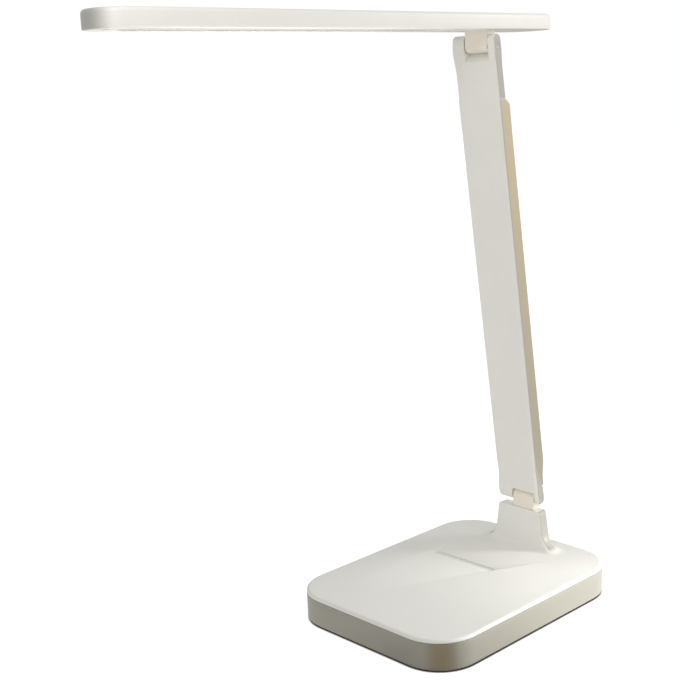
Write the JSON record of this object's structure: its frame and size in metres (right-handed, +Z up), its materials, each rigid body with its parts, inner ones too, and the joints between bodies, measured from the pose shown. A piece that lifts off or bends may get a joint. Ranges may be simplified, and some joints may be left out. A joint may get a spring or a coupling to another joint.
{
  "type": "folding desk lamp",
  "caption": "Desk lamp with a weighted rounded base, a flat hinged arm and a slim hinged light bar that folds down over the base.",
  "frame": {"origin": "on the table under the middle of the base's footprint", "axes": "+Z up; +X along the hinge axes, to the right of someone facing the lamp's front; -Y is the way the light bar points"},
  "size_m": [0.125, 0.319, 0.3538],
  "materials": {
    "base_shell": "fine texture, warm grey",
    "white_shell": "fine satin texture",
    "champagne_cover": "satin champagne anodised",
    "foot_foam": "matt",
    "ballast_steel": "zinc plated",
    "screw_steel": "zinc plated",
    "pin_steel": "polished",
    "spine_steel": "zinc plated",
    "washer_bronze": "dull",
    "hinge_block": "satin white",
    "touch_lens": "translucent grey",
    "board": "solder mask",
    "chip": "moulded",
    "socket_shell": "bright tin",
    "lead_black": "matt",
    "opal": "opal",
    "clear_guide": "clear acrylic",
    "film": "diffuse white",
    "spreader": "mill finish",
    "led_board_white": "white solder mask",
    "led": "phosphor"
  },
  "bodies": {
    "base": {"foot_pad": "foot_foam", "base_tray": "base_shell", "ballast_plate": "ballast_steel", "ballast_screws": "screw_steel", "base_screws": "screw_steel", "base_top_cover": "white_shell", "touch_bar": "touch_lens", "touch_board": "board", "touch_screws": "screw_steel", "control_board": "board", "control_parts": "chip", "board_screws": "screw_steel", "usb_socket": "socket_shell", "lower_hinge_block": "hinge_block", "lower_block_screws": "screw_steel", "base_lead": "lead_black", "touch_lead": "lead_black"},
    "arm": {"lower_hinge_pin": "pin_steel", "lower_hinge_nut": "pin_steel", "lower_friction_washers": "washer_bronze", "lower_hinge_caps": "white_shell", "arm_front_housing": "white_shell", "arm_rear_cover": "champagne_cover", "arm_spine": "spine_steel", "arm_screws": "screw_steel", "arm_lead": "lead_black", "upper_hinge_pin": "pin_steel", "upper_hinge_nut": "pin_steel", "upper_friction_washers": "washer_bronze", "upper_hinge_caps": "white_shell"},
    "head": {"upper_hinge_block": "hinge_block", "upper_block_screws": "screw_steel", "head_housing": "white_shell", "head_bezel": "white_shell", "bezel_screws": "screw_steel", "diffuser": "opal", "light_guide": "clear_guide", "reflector_film": "film", "heat_spreader": "spreader", "led_boards": "led_board_white", "led_packages": "led", "head_lead": "lead_black"}
  },
  "joints": [
    {"name": "arm_tilt", "type": "hinge", "parent": "base", "child": "arm", "pos_m": [0, 0.066, 0.052], "axis": [1, 0, 0], "range_deg": [-20, 82]},
    {"name": "head_tilt", "type": "hinge", "parent": "arm", "child": "head", "pos_m": [0, 0.02867, 0.33555], "axis": [1, 0, 0], "range_deg": [-30, 97]}
  ]
}
